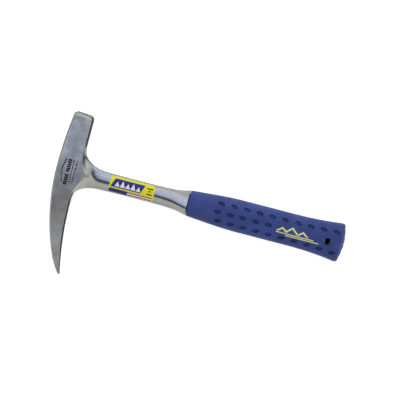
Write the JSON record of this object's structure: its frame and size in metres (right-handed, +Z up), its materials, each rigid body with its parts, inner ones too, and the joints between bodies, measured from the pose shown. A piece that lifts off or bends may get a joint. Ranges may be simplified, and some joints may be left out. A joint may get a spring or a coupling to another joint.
{
  "type": "rock hammer",
  "caption": "One-piece forged rock hammer with a square striking poll, a long curved pointed pick, an oval neck and a moulded dimpled grip.",
  "frame": {"origin": "centre of the underside of the bounding box, with the hammer lying flat on its side on that plane", "axes": "+X along the handle from the head to the butt, +Y the way the square poll strikes, +Z up through the thickness"},
  "size_m": [0.3296, 0.1804, 0.024],
  "materials": {
    "steel": "forged carbon steel, ground cheeks and a polished neck",
    "grip": "moulded blue nylon-vinyl, satin",
    "label": "printed film"
  },
  "bodies": {
    "root": {"forged_steel_body": "steel", "vinyl_grip": "grip", "neck_label": "label"}
  },
  "joints": []
}
